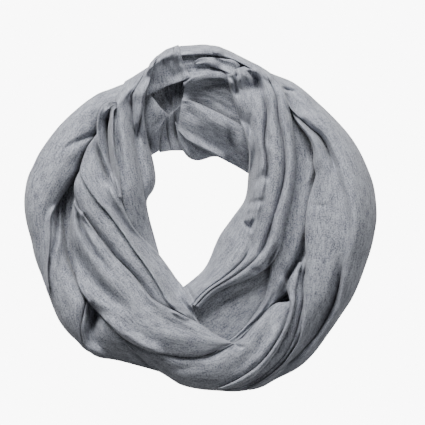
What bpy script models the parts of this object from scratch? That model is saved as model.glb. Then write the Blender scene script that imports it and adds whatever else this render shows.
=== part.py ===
"""An infinity scarf of thin jersey, wound twice and laid flat on a surface.

Each stretch of cloth that shows is a thin wall that arches from crease to crease, and it is laid on the stretches
beneath it. One ring of hidden layers fills the room under them all. Lengths here are in millimetres, and the
meshes are in metres. +Z is up, +Y points to the side with the joining seam.
"""

from collections import namedtuple

import bmesh
import bpy
import numpy as np

MM = 0.001
WALL = 2.0            # thickness of a stretch of cloth
LAY_GAP = 0.6         # air between a stretch and what it lies on
ROLL = 2.2            # roundness of a strand: 2 is an ellipse, more is fuller
STEEPEST = 3.0        # how many walls deep a steep side may be, measured straight down
REACH = 215.0         # half the side of the square that the scarf is laid in
CORE_INSET = 15.0     # how far the hidden layers stay inside the outlines
CORE_STATIONS = 48
CORE_LEAST = 3.0      # the hidden layers' least height
CORE_FULL = 70.0      # higher than they ever reach: the cloth above decides
GREY = (0.30, 0.31, 0.33, 1.0)

# The outline of the whole ring, a row for each direction from its middle
Outline = namedtuple("Outline", "degrees outer inner")
OUTLINE = (
    Outline(0, 190, 50), Outline(30, 184, 64), Outline(60, 175, 74), Outline(90, 186, 68),
    Outline(120, 172, 90), Outline(150, 184, 68), Outline(180, 192, 62), Outline(210, 184, 64),
    Outline(240, 180, 72), Outline(270, 184, 66), Outline(300, 192, 46), Outline(330, 184, 40),
)

# The hidden layers' section, from the opening's side to the outer side. Each layer ends a little further in than
# the one below, and in the middle they fill the room under the cloth.
Layer = namedtuple("Layer", "share height")
CORE_LAYERS = (
    Layer(0.0, 0.0), Layer(0.005, 6.0), Layer(0.05, 7.5), Layer(0.055, 13.0), Layer(0.1, 14.5), Layer(0.105, 20.0),
    Layer(0.18, CORE_FULL), Layer(0.28, CORE_FULL), Layer(0.39, CORE_FULL), Layer(0.5, CORE_FULL),
    Layer(0.61, CORE_FULL), Layer(0.72, CORE_FULL), Layer(0.82, CORE_FULL), Layer(0.895, 20.0), Layer(0.9, 14.5),
    Layer(0.945, 13.0), Layer(0.95, 7.5), Layer(0.995, 6.0), Layer(1.0, 0.0),
)

# A rail is an edge or a crease that runs the length of a stretch. Its height is read along it, the crown is how
# far the cloth arches above the line to the next rail, and lean is where the arch is highest, from 0 to 1.
Rail = namedtuple("Rail", "path height crown lean")
Stretch = namedtuple("Stretch", "name stations sides rails")

STRETCHES = (
    Stretch("throat_left", 7, 3, (
        Rail(((-56, 143), (-69, 106), (-71, 88), (-54, 70)), (26, 22, 10, 2), (8, 9, 8), 0.5),
        Rail(((-45, 145), (-47, 125), (-46, 97), (-45, 75)), (24, 20, 10, 2), (8, 10, 8), 0.5),
        Rail(((-29, 150), (-31, 117), (-35, 95), (-31, 75)), (26, 20, 10, 2), (8, 10, 8), 0.5),
        Rail(((-9, 152), (-13, 130), (-20, 99), (-16, 73)), (32, 24, 12, 2), None, None),
    )),
    Stretch("throat_flap", 6, 4, (
        Rail(((-27, 106), (-14, 95), (3, 84), (19, 75)), (22, 22, 20), (8, 10, 6), 0.5),
        Rail(((-23, 77), (-14, 66), (-2, 62), (15, 68)), (2, 2), None, None),
    )),
    Stretch("throat_right", 8, 6, (
        Rail(((-23, 120), (-12, 133), (24, 118), (47, 108), (59, 97)), (34, 40, 46), (10, 12, 10), 0.5),
        Rail(((-26, 94), (-12, 84), (21, 64), (39, 56), (57, 48)), (20, 16, 4, 2, 2), None, None),
    )),
    Stretch("inner_left", 11, 4, (
        Rail(((-97, 130), (-102, 75), (-94, 20), (-67, -31), (-53, -44)), (32, 30, 26, 18), (8, 8, 8), 0.5),
        Rail(((-82, 134), (-81, 75), (-73, 20), (-56, -24), (-47, -37)), (32, 26, 22, 12), (10, 16, 14, 8), 0.4),
        Rail(((-67, 132), (-60, 81), (-50, 50), (-57, 12), (-52, -15), (-43, -41)), (30, 10, 2, 2, 2), None, None),
    )),
    Stretch("mid_right", 9, 5, (
        Rail(((87, 141), (94, 86), (92, 25), (79, -35), (61, -88), (54, -112)), (30, 32, 30, 22), (6, 16, 16, 6), 0.5),
        Rail(((103, 121), (127, 80), (129, 36), (122, -22), (114, -81), (101, -103)), (24, 24, 20), None, None),
    )),
    Stretch("dark_panel", 7, 5, (
        Rail(((83, -48), (61, -57), (15, -75), (-9, -92)), (26, 24), (8, 10, 8), 0.5),
        Rail(((90, -77), (70, -101), (43, -132), (24, -145)), (20, 18), None, None),
    )),
    Stretch("lower_left", 9, 6, (
        Rail(((-166, 2), (-166, -48), (-166, -80), (-150, -122), (-136, -136), (-119, -151)), (6, 2), (14, 24, 12), 0.5),
        Rail(((-139, 20), (-139, -8), (-126, -68), (-119, -90), (-127, -125), (-115, -147)), (20, 24, 8), None, None),
    )),
    Stretch("outer_left", 14, 8, (
        Rail(((-46, 177), (-74, 157), (-102, 141), (-137, 119), (-167, 86), (-188, 53), (-194, 16), (-183, -40),
              (-164, -88)), (2, 2), (16, 30, 32, 20, 8), 0.5),
        Rail(((-40, 150), (-69, 132), (-103, 108), (-122, 67), (-148, 26), (-161, -10), (-161, -46), (-160, -81)),
             (30, 28, 12, 8), None, None),
    )),
    Stretch("corner_fold", 7, 6, (
        Rail(((-135, -132), (-127, -145), (-113, -152), (-91, -156), (-67, -163), (-45, -168)), (2, 2), (12, 16, 12), 0.5),
        Rail(((-119, -86), (-111, -103), (-97, -121), (-60, -152), (-40, -166)), (12, 22, 20, 12), None, None),
    )),
    Stretch("bottom_roll", 13, 5, (
        Rail(((109, -68), (96, -90), (61, -112), (43, -134), (24, -140), (-18, -147), (-60, -136), (-93, -118)),
             (20, 26, 26, 20), (12, 20, 18, 10), 0.5),
        Rail(((113, -73), (96, -123), (63, -169), (43, -183), (-6, -180), (-50, -156), (-89, -127)),
             (20, 24, 26, 20, 14), (6, 10, 12, 8), 0.5),
        Rail(((123, -110), (101, -152), (70, -186), (43, -190), (16, -189), (-31, -176), (-69, -152), (-86, -135)),
             (10, 2, 2, 6, 12), None, None),
    )),
    Stretch("outer_right", 16, 6, (
        Rail(((61, 168), (87, 155), (140, 117), (164, 91), (183, 57), (193, 20), (192, -13), (181, -54),
              (166, -90), (146, -120), (104, -167), (81, -177)), (2, 2), (18, 28, 30, 26, 16), 0.5),
        Rail(((74, 152), (92, 130), (109, 109), (145, 64), (160, 7), (161, -24), (149, -79), (123, -130), (79, -175)),
             (30, 30, 36, 40, 24, 12), (12, 24, 26, 22, 12), 0.5),
        Rail(((83, 143), (95, 124), (120, 85), (123, 36), (115, -19), (113, -86), (101, -140), (74, -174)),
             (34, 34, 32, 30, 26, 12), None, None),
    )),
    Stretch("top_outer", 7, 5, (
        Rail(((-31, 187), (-12, 190), (7, 191), (28, 186), (50, 175), (72, 162)), (2, 2), (16, 18, 16), 0.5),
        Rail(((-27, 172), (-7, 174), (13, 176), (30, 172), (63, 154)), (26, 28, 30), None, None),
    )),
    Stretch("top_back", 7, 4, (
        Rail(((-49, 178), (-56, 169), (-59, 156), (-56, 136)), (2, 20, 30, 30), (6, 8, 8), 0.5),
        Rail(((-37, 186), (-38, 169), (-38, 154), (-36, 141)), (2, 24, 36, 30), (8, 10, 8), 0.5),
        Rail(((-24, 189), (-19, 172), (-12, 158), (-9, 145)), (2, 28, 40, 36), None, None),
    )),
    Stretch("top_left", 9, 5, (
        Rail(((-59, 167), (-73, 136), (-78, 110), (-74, 86), (-67, 72)), (6, 30, 34, 20, 2), (12, 18, 14, 10), 0.5),
        Rail(((-41, 155), (-60, 128), (-68, 99), (-58, 69)), (30, 34, 26, 2), None, None),
    )),
    Stretch("top_panel", 7, 5, (
        Rail(((-17, 154), (-1, 158), (15, 161), (39, 152)), (46, 46), (6, 8, 6), 0.4),
        Rail(((-18, 133), (-5, 127), (28, 111), (50, 98)), (40, 46), None, None),
    )),
    Stretch("top_fold", 7, 4, (
        Rail(((-20, 178), (-5, 180), (14, 180), (43, 167)), (30, 34, 40), (14, 16, 12), 0.5),
        Rail(((-14, 165), (-2, 166), (14, 164), (39, 152)), (48, 52), (8, 10, 8), 0.5),
        Rail(((-15, 150), (-3, 153), (10, 157), (37, 143)), (50, 54), None, None),
    )),
    Stretch("inner_right", 17, 4, (
        Rail(((28, 158), (32, 136), (41, 110), (53, 64), (51, 40), (31, -4), (19, -24), (-5, -63), (-20, -76)),
             (50, 44, 4, 2, 2, 2, 2), (12, 22, 34, 40, 34, 24), 0.6),
        Rail(((43, 169), (59, 143), (70, 105), (72, 66), (65, 15), (48, -33), (15, -69), (-9, -88)),
             (46, 54, 58, 54, 40), (12, 14, 14, 12), 0.5),
        Rail(((61, 169), (76, 145), (89, 95), (92, 64), (82, 1), (58, -50), (17, -76), (-5, -92)),
             (36, 54, 60, 56, 38), (8, 14, 12, 8), 0.5),
        Rail(((74, 158), (91, 136), (101, 86), (103, 55), (93, -10), (72, -61), (21, -80), (-2, -98)),
             (28, 44, 48, 44, 34), None, None),
    )),
    Stretch("cross_strands", 16, 4, (
        Rail(((-91, 130), (-106, 123), (-113, 106), (-129, 64), (-137, 16), (-102, -31), (-60, -80), (-12, -117), (6, -128)),
             (36, 34, 26, 32, 36, 34), (12, 18, 20, 16), 0.5),
        Rail(((-93, 127), (-106, 88), (-126, 42), (-117, 24), (-82, -22), (-62, -51), (-36, -94), (2, -121)),
             (36, 46, 50, 46, 42, 38), (10, 20, 30, 28, 16), 0.5),
        Rail(((-90, 129), (-94, 84), (-86, 25), (-60, -24), (-48, -35), (-19, -74), (-2, -116)),
             (36, 44, 36, 4, 4, 40), None, None),
    )),
    Stretch("cross_band", 14, 9, (
        Rail(((-137, 31), (-145, -13), (-140, -46), (-115, -100), (-67, -140), (-12, -153), (32, -136)),
             (30, 22, 24, 28, 34, 38), (10, 26, 30, 24, 14), 0.5),
        Rail(((-130, 24), (-114, -16), (-80, -58), (-51, -90), (-12, -109), (34, -135)),
             (40, 50, 54, 56, 44), None, None),
    )),
)


def through(path, count):
    """Read a smooth curve through the path's points at count equal shares of its length."""
    points = np.array(path, float)
    ends = np.vstack((2 * points[0] - points[1], points, 2 * points[-1] - points[-2]))
    t = np.linspace(0, 1, 16, endpoint=False)[:, None]
    run = []
    for a, b, c, d in zip(ends, ends[1:], ends[2:], ends[3:]):
        run.append(0.5 * (2 * b + (c - a) * t + (2 * a - 5 * b + 4 * c - d) * t ** 2
                          + (3 * b - a - 3 * c + d) * t ** 3))
    run = np.vstack(run + [points[-1:]])
    far = np.concatenate(([0], np.cumsum(np.hypot(*np.diff(run, axis=0).T))))
    share = np.linspace(0, far[-1], count)
    return np.stack([np.interp(share, far, run[:, k]) for k in range(2)], axis=1)


def spread(values, count):
    """Read a short row of values at count even steps."""
    return np.interp(np.linspace(0, 1, count), np.linspace(0, 1, len(values)), values)


def stretch_grid(stretch):
    """The upper side of a stretch, as rows of stations and columns from rail to rail."""
    count = stretch.stations
    paths = [through(rail.path, count) for rail in stretch.rails]
    heights = [spread(rail.height, count) for rail in stretch.rails]
    columns = []
    for k, rail in enumerate(stretch.rails[:-1]):
        crown = spread(rail.crown, count)
        for step in range(stretch.sides):
            t = (1 - np.cos(np.pi * step / stretch.sides)) / 2
            lean = t ** (np.log(0.5) / np.log(rail.lean))
            arch = (1 - abs(2 * lean - 1) ** ROLL) ** (1 / ROLL)
            flat = paths[k] + (paths[k + 1] - paths[k]) * t
            z = heights[k] + (heights[k + 1] - heights[k]) * t + crown * arch
            columns.append(np.column_stack((flat, z)))
    columns.append(np.column_stack((paths[-1], heights[-1])))
    return np.stack(columns, axis=1)


def grid_triangles(rows, columns):
    """Two triangles for each cell of a grid, as numbers of its points."""
    number = np.arange(rows * columns).reshape(rows, columns)
    a, b, c, d = number[:-1, :-1], number[:-1, 1:], number[1:, 1:], number[1:, :-1]
    return np.vstack((np.stack((a, b, c), -1).reshape(-1, 3), np.stack((a, c, d), -1).reshape(-1, 3)))


def wall_depth(grid):
    """How deep the cloth is straight down, so that a steep side keeps its thickness."""
    along = np.gradient(grid, axis=0)
    across = np.gradient(grid, axis=1)
    normal = np.cross(along, across)
    upright = abs(normal[..., 2]) / np.linalg.norm(normal, axis=-1)
    depth = WALL / np.maximum(upright, 1 / STEEPEST)
    depth[:, (0, -1)] = WALL
    depth[(0, -1), :] = WALL
    return depth


# Points spread evenly over a triangle, as shares of its corners: they catch the steep ones that are thin in plan
EVEN_STEPS = 8
EVEN_SHARES = np.array([(i, j, EVEN_STEPS - i - j) for i in range(EVEN_STEPS + 1)
                        for j in range(EVEN_STEPS + 1 - i)]) / EVEN_STEPS


def covered_cells(corners):
    """The cells of the laying square under one triangle, and each corner's share in them."""
    spots, shares = [np.round(EVEN_SHARES @ corners + REACH).astype(int)], [EVEN_SHARES]
    low = np.floor(corners.min(0) + REACH).astype(int)
    high = np.ceil(corners.max(0) + REACH).astype(int) + 1
    x, y = np.meshgrid(np.arange(low[0], high[0]), np.arange(low[1], high[1]), indexing="ij")
    spot = np.stack((x, y), -1).reshape(-1, 2)
    u, v, w = corners[1] - corners[0], corners[2] - corners[0], spot - REACH - corners[0]
    area = u[0] * v[1] - u[1] * v[0]
    if abs(area) > 0.01:
        second = (w[:, 0] * v[1] - w[:, 1] * v[0]) / area
        third = (u[0] * w[:, 1] - u[1] * w[:, 0]) / area
        share = np.stack((1 - second - third, second, third), -1)
        inside = (share > -0.02).all(1)
        spots.append(spot[inside])
        shares.append(share[inside])
    return np.vstack(spots), np.vstack(shares)


def raise_to(level, patches):
    """Raise a level to the patches' heights, one cell wider all round so that steep sides count in full."""
    own = np.full_like(level, level.min())
    for spot, height in patches:
        np.maximum.at(own, (spot[:, 0], spot[:, 1]), height)
    for axis in (0, 1):
        own = np.maximum(own, np.maximum(np.roll(own, 1, axis), np.roll(own, -1, axis)))
    np.maximum(level, own, out=level)


def lay(grid, heap, room):
    """Lift a stretch until its underside clears the heap, and add it to the heap; returns both its sides.

    The heap is the height of what lies in each cell. The room is how far down the cloth there leaves free, as a
    negative height, for the hidden layers to fill.
    """
    rows, columns = grid.shape[:2]
    triangles = grid_triangles(rows, columns)
    flat = grid[..., :2].reshape(-1, 2)
    depth = wall_depth(grid).ravel()
    under = grid[..., 2].ravel() - depth
    places = [(three, *covered_cells(flat[three])) for three in triangles]
    near = np.round(flat + REACH).astype(int)
    for _ in range(60):
        lift = np.maximum(0, heap[near[:, 0], near[:, 1]] + LAY_GAP - under)
        for three, spot, share in places:
            short = (heap[spot[:, 0], spot[:, 1]] + LAY_GAP - share @ under[three]).max()
            lift[three] = np.maximum(lift[three], short)
        if lift.max() < 0.01:
            break
        under = under + lift
    upper = under + depth
    raise_to(heap, [(spot, share @ upper[three]) for three, spot, share in places])
    raise_to(room, [(spot, -(share @ under[three])) for three, spot, share in places])
    return np.column_stack((flat, upper)), np.column_stack((flat, under))


def add_solid(name, points, triangles):
    """Make one closed object from points in millimetres."""
    mesh = bpy.data.meshes.new(name)
    mesh.from_pydata([tuple(float(v) * MM for v in p) for p in points], [],
                     [tuple(int(i) for i in three) for three in triangles])
    work = bmesh.new()
    work.from_mesh(mesh)
    bmesh.ops.recalc_face_normals(work, faces=work.faces)
    work.to_mesh(mesh)
    work.free()
    mesh.shade_smooth()
    item = bpy.data.objects.new(name, mesh)
    bpy.context.scene.collection.objects.link(item)
    cloth = bpy.data.materials.new(name)
    cloth.use_nodes = True
    shader = cloth.node_tree.nodes["Principled BSDF"]
    shader.inputs["Base Color"].default_value = GREY
    shader.inputs["Roughness"].default_value = 0.9
    shader.inputs["Metallic"].default_value = 0.0
    mesh.materials.append(cloth)
    return item


def close_wall(upper, under, rows, columns):
    """Join the two sides of a stretch all round its rim."""
    triangles = grid_triangles(rows, columns)
    number = np.arange(rows * columns).reshape(rows, columns)
    rim = np.concatenate((number[0, :-1], number[:-1, -1], number[-1, :0:-1], number[:0:-1, 0]))
    after = np.roll(rim, -1)
    below = rows * columns
    sides = np.vstack((np.stack((rim, after, after + below), -1), np.stack((rim, after + below, rim + below), -1)))
    return np.vstack((upper, under)), np.vstack((triangles, triangles[:, ::-1] + below, sides))


def core_section(degrees):
    """The ring's outer and inner radius in one direction, eased between the rows of its outline."""
    turn = [row.degrees for row in OUTLINE] + [360]
    outer = [row.outer for row in OUTLINE] + [OUTLINE[0].outer]
    inner = [row.inner for row in OUTLINE] + [OUTLINE[0].inner]
    return np.interp(degrees, turn, outer) - CORE_INSET, np.interp(degrees, turn, inner) + CORE_INSET


def add_core(room):
    """The hidden layers: a closed ring with a flat underside, lowered until it clears all the cloth above it."""
    points = []
    for degrees in np.arange(CORE_STATIONS) * 360 / CORE_STATIONS:
        outer, inner = core_section(degrees)
        way = np.array((np.cos(np.radians(degrees)), np.sin(np.radians(degrees))))
        for layer in CORE_LAYERS:
            points.append((*(way * (inner + (outer - inner) * layer.share)), layer.height))
    points = np.array(points)
    around = len(CORE_LAYERS)
    upper_side, underside = [], []
    for station in range(CORE_STATIONS):
        here, there = station * around, (station + 1) % CORE_STATIONS * around
        for k in range(around):
            after = (k + 1) % around
            side = upper_side if after else underside
            side.append((here + k, here + after, there + after))
            side.append((here + k, there + after, there + k))
    places = [(list(three), *covered_cells(points[list(three), :2])) for three in upper_side]
    least = np.minimum(points[:, 2], CORE_LEAST)
    for _ in range(60):
        drop = np.zeros(len(points))
        for three, spot, share in places:
            over = (share @ points[three, 2] + room[spot[:, 0], spot[:, 1]] + LAY_GAP).max()
            drop[three] = np.maximum(drop[three], over)
        lower = np.maximum(points[:, 2] - drop, least)
        if np.abs(lower - points[:, 2]).max() < 0.01:
            break
        points[:, 2] = lower
    add_solid("hidden_core", points, upper_side + underside)


for old in list(bpy.data.objects):
    bpy.data.objects.remove(old)

side = int(2 * REACH) + 1
heap = np.full((side, side), -LAY_GAP)
room = np.full((side, side), -CORE_FULL)
for stretch in STRETCHES:
    grid = stretch_grid(stretch)
    upper, under = lay(grid, heap, room)
    add_solid(stretch.name, *close_wall(upper, under, *grid.shape[:2]))
add_core(room)

# Put the middle of the whole box at the origin
bodies = [item for item in bpy.data.objects if item.type == "MESH"]
corners = np.array([v.co[:2] for item in bodies for v in item.data.vertices])
middle = (corners.min(0) + corners.max(0)) / 2
for item in bodies:
    for vertex in item.data.vertices:
        vertex.co.x -= middle[0]
        vertex.co.y -= middle[1]
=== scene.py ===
"""An infinity scarf of heather grey jersey, wound twice and laid flat, seen from straight above.

The cloth's lengths below are in millimetres. The view, the lights and the meshes are in metres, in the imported
model's own frame.
"""

from collections import namedtuple

import bpy
import numpy as np
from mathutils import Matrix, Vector


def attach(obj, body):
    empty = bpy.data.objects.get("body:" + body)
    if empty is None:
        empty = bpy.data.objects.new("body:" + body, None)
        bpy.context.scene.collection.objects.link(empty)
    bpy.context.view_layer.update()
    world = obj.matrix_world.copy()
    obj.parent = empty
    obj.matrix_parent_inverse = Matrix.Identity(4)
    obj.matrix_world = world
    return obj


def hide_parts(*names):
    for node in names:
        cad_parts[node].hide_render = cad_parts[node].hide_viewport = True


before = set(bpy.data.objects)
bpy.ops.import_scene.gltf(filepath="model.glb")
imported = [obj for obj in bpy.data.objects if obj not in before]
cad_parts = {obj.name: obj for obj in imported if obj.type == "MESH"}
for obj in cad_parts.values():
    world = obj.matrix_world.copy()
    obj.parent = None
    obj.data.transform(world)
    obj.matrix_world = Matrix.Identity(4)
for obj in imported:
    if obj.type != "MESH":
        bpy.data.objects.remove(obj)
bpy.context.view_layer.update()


# The view. The scarf lies on a pale table and is looked at from straight above, through a long lens. One
# large soft light shines from the far side, a little to the left, and a weaker one from the right.
VIEW_HEIGHT = 4.0
VIEW_WIDTH = 0.4675
VIEW_MIDDLE = (0.0132, 0.0061)
camera = bpy.data.objects.new("camera", bpy.data.cameras.new("camera"))
camera.data.sensor_width = 36.0
camera.data.lens = 36.0 * VIEW_HEIGHT / VIEW_WIDTH
camera.data.clip_end = 20.0
camera.location = (*VIEW_MIDDLE, VIEW_HEIGHT)
bpy.context.scene.collection.objects.link(camera)
bpy.context.scene.camera = camera


def soft_light(name, place, size, watts):
    """A square area light that points at the scarf."""
    lamp = bpy.data.objects.new(name, bpy.data.lights.new(name, "AREA"))
    lamp.data.size = size
    lamp.data.energy = watts
    lamp.location = place
    lamp.rotation_euler = (-Vector(place)).to_track_quat("-Z", "Y").to_euler()
    bpy.context.scene.collection.objects.link(lamp)


soft_light("window", (-0.5, 1.65, 1.38), 1.2, 88.0)
soft_light("fill", (1.45, 0.3, 1.2), 1.2, 9.0)
world = bpy.data.worlds.new("studio")
world.use_nodes = True
world.node_tree.nodes["Background"].inputs["Color"].default_value = (0.96, 0.98, 1.0, 1.0)
world.node_tree.nodes["Background"].inputs["Strength"].default_value = 0.14
bpy.context.scene.world = world

table_mesh = bpy.data.meshes.new("table")
table_mesh.from_pydata([(-6, -6, 0), (6, -6, 0), (6, 6, 0), (-6, 6, 0)], [], [(0, 1, 2, 3)])
table = bpy.data.objects.new("table", table_mesh)
bpy.context.scene.collection.objects.link(table)
table_top = bpy.data.materials.new("table_top")
table_top.use_nodes = True
nodes, links = table_top.node_tree.nodes, table_top.node_tree.links
nodes["Principled BSDF"].inputs["Base Color"].default_value = (0.6, 0.6, 0.6, 1.0)
nodes["Principled BSDF"].inputs["Roughness"].default_value = 0.8
lit_white = nodes.new("ShaderNodeEmission")
lit_white.inputs["Strength"].default_value = 9.0
both = nodes.new("ShaderNodeMixShader")
links.new(nodes.new("ShaderNodeLightPath").outputs["Is Camera Ray"], both.inputs["Fac"])
links.new(nodes["Principled BSDF"].outputs["BSDF"], both.inputs[1])
links.new(lit_white.outputs["Emission"], both.inputs[2])
links.new(both.outputs["Shader"], nodes["Material Output"].inputs["Surface"])
table_mesh.materials.append(table_top)


# Heather jersey: a fine single knit of light and dark grey fibres spun together, so the colour runs in short
# streaks along the length, over fine ribs of stitches. It is matt, with a slight bloom of loose fibre.
class Dye:
    """One socket of a material, used like a number: each sum on it adds the Math node that works it out."""

    def __init__(self, tree, socket):
        self.tree, self.socket = tree, socket

    def node(self, kind, settings, values, out=0):
        """Make a node: its settings first, then a value or a link for each named socket."""
        made = self.tree.nodes.new(kind)
        for key, value in settings.items():
            if key == "stops":
                ramp = made.color_ramp
                while len(ramp.elements) < len(value):
                    ramp.elements.new(0.5)
                for element, (position, colour) in zip(ramp.elements, value):
                    element.position, element.color = position, colour
            else:
                setattr(made, key, value)
        for key, value in values.items():
            if isinstance(value, Dye):
                self.tree.links.new(value.socket, made.inputs[key])
            else:
                made.inputs[key].default_value = value
        return Dye(self.tree, made.outputs[out])

    def sum(self, operation, other, swap=False):
        first, second = (other, self) if swap else (self, other)
        return self.node("ShaderNodeMath", {"operation": operation}, {0: first, 1: second})

    def __add__(self, other):
        return self.sum("ADD", other)

    __radd__ = __add__

    def __mul__(self, other):
        return self.sum("MULTIPLY", other)

    __rmul__ = __mul__

    def __sub__(self, other):
        return self.sum("SUBTRACT", other)

    def __rsub__(self, other):
        return self.sum("SUBTRACT", other, swap=True)


def heather(name, light, dark):
    """Jersey that reads the piece's own map: across the cloth first, then along it, in metres."""
    cloth = bpy.data.materials.new(name)
    cloth.use_nodes = True
    tree = cloth.node_tree
    shader = tree.nodes["Principled BSDF"]
    place = Dye(tree, tree.nodes.new("ShaderNodeTexCoord").outputs["UV"])

    def fibre(across, along, detail):
        """Random bands, so many to the metre across and along the cloth."""
        stretched = place.node("ShaderNodeMapping", {}, {"Vector": place, "Scale": (across, along, 1.0)})
        return place.node("ShaderNodeTexNoise", {"noise_dimensions": "2D"},
                          {"Vector": stretched, "Scale": 1.0, "Detail": detail, "Roughness": 0.6})

    streak = fibre(520.0, 90.0, 3.0)
    fleck = fibre(1000.0, 560.0, 2.0)
    cloud = fibre(110.0, 40.0, 3.0)
    shade = streak * 0.42 + fleck * 0.66 + cloud * 0.26 - 0.17
    colour = place.node("ShaderNodeValToRGB", {"stops": ((0.30, dark), (0.70, light))}, {"Fac": shade})
    tree.links.new(colour.socket, shader.inputs["Base Color"])
    tree.links.new((streak * 0.12 + 0.86).socket, shader.inputs["Roughness"])
    ribs = place.node("ShaderNodeTexWave", {"wave_type": "BANDS", "bands_direction": "X"},
                      {"Vector": place, "Scale": 330.0, "Distortion": 0.6, "Detail": 1.0})
    relief = place.node("ShaderNodeBump", {}, {"Strength": 0.55, "Distance": 0.0004,
                                               "Height": ribs * 0.25 + fleck * 0.6 + streak * 0.5})
    tree.links.new(relief.socket, shader.inputs["Normal"])
    shader.inputs["Sheen Weight"].default_value = 0.18
    shader.inputs["Sheen Roughness"].default_value = 0.45
    shader.inputs["Specular IOR Level"].default_value = 0.25
    return cloth


jersey = heather("heather_jersey", (0.515, 0.535, 0.59, 1.0), (0.095, 0.10, 0.13, 1.0))


# The stitching, for the hems and the seam that show: twisted polyester thread of the jersey's grey. Each
# stitch is a short arch of it, set again and again along a line on the cloth.
Stitches = namedtuple("Stitches", "path spacing length slant")
THREAD = 0.2              # radius of the sewing thread
LINE_STEPS = 60           # steps of a line of stitches
thread = bpy.data.materials.new("sewing_thread")
thread.use_nodes = True
thread_shader = thread.node_tree.nodes["Principled BSDF"]
thread_place = Dye(thread.node_tree, thread.node_tree.nodes.new("ShaderNodeTexCoord").outputs["Object"])
twist = thread_place.node("ShaderNodeTexNoise", {}, {"Vector": thread_place, "Scale": 1600.0, "Detail": 2.0})
dyes = ((0.3, (0.24, 0.25, 0.28, 1.0)), (0.7, (0.40, 0.415, 0.455, 1.0)))
tone = twist.node("ShaderNodeValToRGB", {"stops": dyes}, {"Fac": twist})
ply = twist.node("ShaderNodeBump", {}, {"Strength": 0.5, "Distance": 0.0001, "Height": twist})
thread.node_tree.links.new(tone.socket, thread_shader.inputs["Base Color"])
thread.node_tree.links.new((twist * 0.15 + 0.5).socket, thread_shader.inputs["Roughness"])
thread.node_tree.links.new(ply.socket, thread_shader.inputs["Normal"])

sewing = bpy.data.node_groups.new("sewing", "GeometryNodeTree")
for label, kind in (("Line", "Geometry"), ("Spacing", "Float"), ("Stitch length", "Float"),
                    ("Thread radius", "Float"), ("Slant", "Float"), ("Thread", "Material")):
    sewing.interface.new_socket(label, in_out="INPUT", socket_type="NodeSocket" + kind)
sewing.interface.new_socket("Stitches", in_out="OUTPUT", socket_type="NodeSocketGeometry")
line, spacing, stitch_length, radius, slant, yarn = (
    Dye(sewing, socket) for socket in sewing.nodes.new("NodeGroupInput").outputs[:6])
row = line.node("GeometryNodeMeshToCurve", {}, {"Mesh": line})
row = row.node("GeometryNodeResampleCurve", {"mode": "LENGTH"}, {"Curve": row, "Length": spacing})
half, low, high = stitch_length * 0.5, radius * -1.0, radius * 2.0
ends = [line.node("ShaderNodeCombineXYZ", {}, {"X": across, "Z": up})
        for across, up in ((half * -1.0, low), (half * -0.6, high), (half * 0.6, high), (half, low))]
arch = line.node("GeometryNodeCurvePrimitiveBezierSegment", {}, {
    "Resolution": 6, "Start": ends[0], "Start Handle": ends[1], "End Handle": ends[2], "End": ends[3]})
round_thread = line.node("GeometryNodeCurvePrimitiveCircle", {}, {"Resolution": 6, "Radius": radius})
stitch = arch.node("GeometryNodeCurveToMesh", {}, {
    "Curve": arch, "Profile Curve": round_thread, "Fill Caps": True})
heading = line.node("GeometryNodeInputTangent", {}, {})
heading = line.node("FunctionNodeAlignRotationToVector", {"axis": "X"}, {"Vector": heading})
slanted = line.node("ShaderNodeCombineXYZ", {}, {"Z": slant})
slanted = line.node("FunctionNodeEulerToRotation", {}, {"Euler": slanted})
heading = line.node("FunctionNodeRotateRotation", {"rotation_space": "LOCAL"}, {
    "Rotation": heading, "Rotate By": slanted})
stitches = row.node("GeometryNodeInstanceOnPoints", {}, {
    "Points": row, "Instance": stitch, "Rotation": heading})
stitches = stitches.node("GeometryNodeRealizeInstances", {}, {"Geometry": stitches})
stitches = stitches.node("GeometryNodeSetMaterial", {}, {"Geometry": stitches, "Material": yarn})
sewing.links.new(stitches.socket, sewing.nodes.new("NodeGroupOutput").inputs[0])


def sew(name, grid, rows):
    """Make one piece of all the rows of stitches on a stretch of cloth, each laid on its surface."""
    points, edges = [], []
    for row in rows:
        path = smooth_path(row.path, LINE_STEPS)
        near = np.linalg.norm(grid[:, :, None, :2] - path, axis=3).reshape(-1, len(path)).argsort(0)[:4]
        height = grid[..., 2].ravel()[near].mean(0) + THREAD
        edges += [(len(points) + k, len(points) + k + 1) for k in range(len(path) - 1)]
        points += np.column_stack((path, height)).tolist()
    mesh = bpy.data.meshes.new(name + "_line")
    mesh.from_pydata((np.array(points) / 1000).tolist(), edges, [])
    guide = bpy.data.objects.new(name + "_line", mesh)
    bpy.context.scene.collection.objects.link(guide)
    maker = guide.modifiers.new("sewing", "NODES")
    maker.node_group = sewing
    wanted = {"Spacing": rows[0].spacing / 1000, "Stitch length": rows[0].length / 1000,
              "Thread radius": THREAD / 1000, "Slant": np.radians(rows[0].slant).item(), "Thread": thread}
    for socket in sewing.interface.items_tree:
        if socket.name in wanted:
            maker[socket.identifier] = wanted[socket.name]
    made = guide.evaluated_get(bpy.context.evaluated_depsgraph_get())
    stitched = bpy.data.objects.new(name, bpy.data.meshes.new_from_object(made))
    bpy.data.objects.remove(guide)
    bpy.context.scene.collection.objects.link(stitched)
    stitched.data.shade_smooth()
    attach(stitched, "root")
    return stitched


# The throat's left side: the deepest cloth that shows, at the upper left of the neck opening. Behind is a
# hollow in shade. Below it the cloth hangs in pleats to the table, and a lap with a finished edge lies over
# both.

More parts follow.
